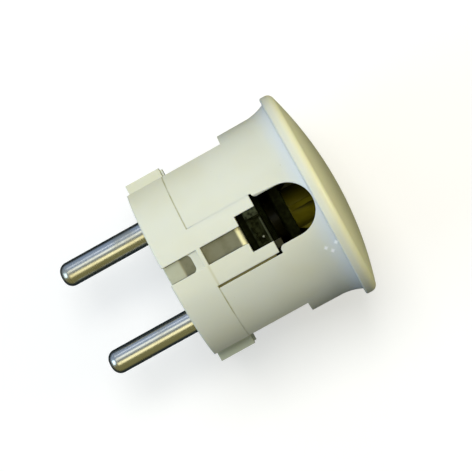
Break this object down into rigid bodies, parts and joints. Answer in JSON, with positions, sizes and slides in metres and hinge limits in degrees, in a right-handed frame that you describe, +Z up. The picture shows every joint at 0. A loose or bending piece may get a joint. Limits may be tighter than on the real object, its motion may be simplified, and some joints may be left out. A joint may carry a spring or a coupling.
{
  "type": "angled earthed plug",
  "caption": "Rewirable earthed plug with two round pins, side cord entry, side earth contacts and a domed head",
  "frame": {"origin": "centre of the front face, midway between the pins", "axes": "+X along the plug from the pins to the domed head, +Y from the right pin to the left pin, +Z up, to the side with the cord entry"},
  "size_m": [0.0546, 0.0422, 0.0422],
  "materials": {
    "cover": "moulded, satin gloss",
    "base": "moulded, satin gloss",
    "pin": "turned, nickel plated",
    "contact_strip": "nickel plated sheet",
    "clamp_plastic": "moulded black",
    "insulator": "pressed insulating plate",
    "screw": "zinc plated",
    "brass": "turned brass"
  },
  "bodies": {
    "root": {"base": "base", "cover": "cover", "line_pin_left": "pin", "line_pin_right": "pin", "terminal_screw_left": "screw", "terminal_screw_right": "screw", "wire_guard_left": "contact_strip", "wire_guard_right": "contact_strip", "pin_retainer": "insulator", "retainer_screw_left": "screw", "retainer_screw_right": "screw", "earth_bracket": "contact_strip", "earth_clamp_washer": "contact_strip", "earth_terminal_screw": "brass", "cord_clamp_saddle": "clamp_plastic", "cord_clamp_bar": "clamp_plastic", "cord_clamp_screw_left": "screw", "cord_clamp_screw_right": "screw", "cover_screw": "screw", "cover_thread_insert": "brass"}
  },
  "joints": []
}
